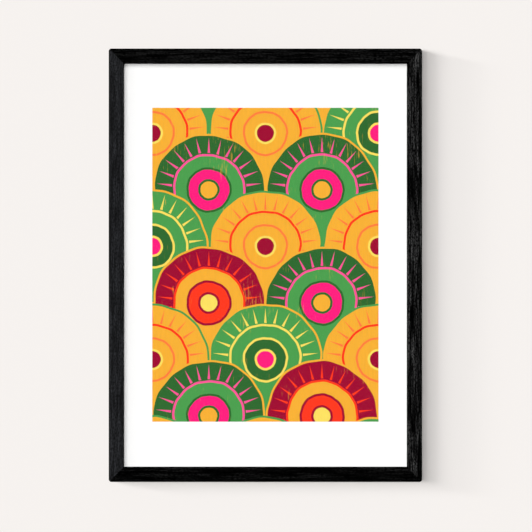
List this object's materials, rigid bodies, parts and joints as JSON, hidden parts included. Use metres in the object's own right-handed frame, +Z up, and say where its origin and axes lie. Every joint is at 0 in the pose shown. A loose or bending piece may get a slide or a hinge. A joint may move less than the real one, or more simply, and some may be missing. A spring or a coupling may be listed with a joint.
{
  "type": "framed art print",
  "caption": "Rectangular black wooden picture frame holding a bordered paper print behind clear glazing, closed at the back and made to hang on a wall.",
  "frame": {"origin": "on the wall plane, in the middle of the frame's width, at the middle notch of the sawtooth hanger, where the wall nail sits", "axes": "+Z up along the frame's height, -Y out of the wall towards the viewer, +X to the viewer's right"},
  "size_m": [0.454, 0.022, 0.628],
  "materials": {
    "stained_wood": "satin",
    "v_nail_steel": "satin",
    "acrylic_sheet": "gloss",
    "print_paper": "matte",
    "foam_board": "matte",
    "hardboard": "matte",
    "zinc_plated_steel": "satin",
    "brass_plate": "satin",
    "felt": "matte"
  },
  "bodies": {
    "frame": {"rail_top": "stained_wood", "rail_right": "stained_wood", "rail_bottom": "stained_wood", "rail_left": "stained_wood", "v_nail_top_right_1": "v_nail_steel", "v_nail_top_right_2": "v_nail_steel", "v_nail_right_bottom_1": "v_nail_steel", "v_nail_right_bottom_2": "v_nail_steel", "v_nail_bottom_left_1": "v_nail_steel", "v_nail_bottom_left_2": "v_nail_steel", "v_nail_left_top_1": "v_nail_steel", "v_nail_left_top_2": "v_nail_steel", "glazing": "acrylic_sheet", "print": "print_paper", "foam_board": "foam_board", "backing_board": "hardboard", "turn_button_screw_1": "zinc_plated_steel", "turn_button_screw_2": "zinc_plated_steel", "turn_button_screw_3": "zinc_plated_steel", "turn_button_screw_4": "zinc_plated_steel", "turn_button_screw_5": "zinc_plated_steel", "turn_button_screw_6": "zinc_plated_steel", "turn_button_screw_7": "zinc_plated_steel", "turn_button_screw_8": "zinc_plated_steel", "sawtooth_hanger": "brass_plate", "hanger_nail_left": "brass_plate", "hanger_nail_right": "brass_plate", "wall_pad_left": "felt", "wall_pad_right": "felt"},
    "button_1": {"turn_button_1": "zinc_plated_steel"},
    "button_2": {"turn_button_2": "zinc_plated_steel"},
    "button_3": {"turn_button_3": "zinc_plated_steel"},
    "button_4": {"turn_button_4": "zinc_plated_steel"},
    "button_5": {"turn_button_5": "zinc_plated_steel"},
    "button_6": {"turn_button_6": "zinc_plated_steel"},
    "button_7": {"turn_button_7": "zinc_plated_steel"},
    "button_8": {"turn_button_8": "zinc_plated_steel"}
  },
  "joints": [
    {"name": "button_1_turn", "type": "hinge", "parent": "frame", "child": "button_1", "pos_m": [-0.11, -0.0035, 0.004], "axis": [0, 1, 0], "range_deg": [-90, 90]},
    {"name": "button_2_turn", "type": "hinge", "parent": "frame", "child": "button_2", "pos_m": [0.11, -0.0035, 0.004], "axis": [0, 1, 0], "range_deg": [-90, 90]},
    {"name": "button_3_turn", "type": "hinge", "parent": "frame", "child": "button_3", "pos_m": [0.219, -0.0035, -0.152], "axis": [0, 1, 0], "range_deg": [-90, 90]},
    {"name": "button_4_turn", "type": "hinge", "parent": "frame", "child": "button_4", "pos_m": [0.219, -0.0035, -0.452], "axis": [0, 1, 0], "range_deg": [-90, 90]},
    {"name": "button_5_turn", "type": "hinge", "parent": "frame", "child": "button_5", "pos_m": [0.11, -0.0035, -0.608], "axis": [0, 1, 0], "range_deg": [-90, 90]},
    {"name": "button_6_turn", "type": "hinge", "parent": "frame", "child": "button_6", "pos_m": [-0.11, -0.0035, -0.608], "axis": [0, 1, 0], "range_deg": [-90, 90]},
    {"name": "button_7_turn", "type": "hinge", "parent": "frame", "child": "button_7", "pos_m": [-0.219, -0.0035, -0.452], "axis": [0, 1, 0], "range_deg": [-90, 90]},
    {"name": "button_8_turn", "type": "hinge", "parent": "frame", "child": "button_8", "pos_m": [-0.219, -0.0035, -0.152], "axis": [0, 1, 0], "range_deg": [-90, 90]}
  ]
}
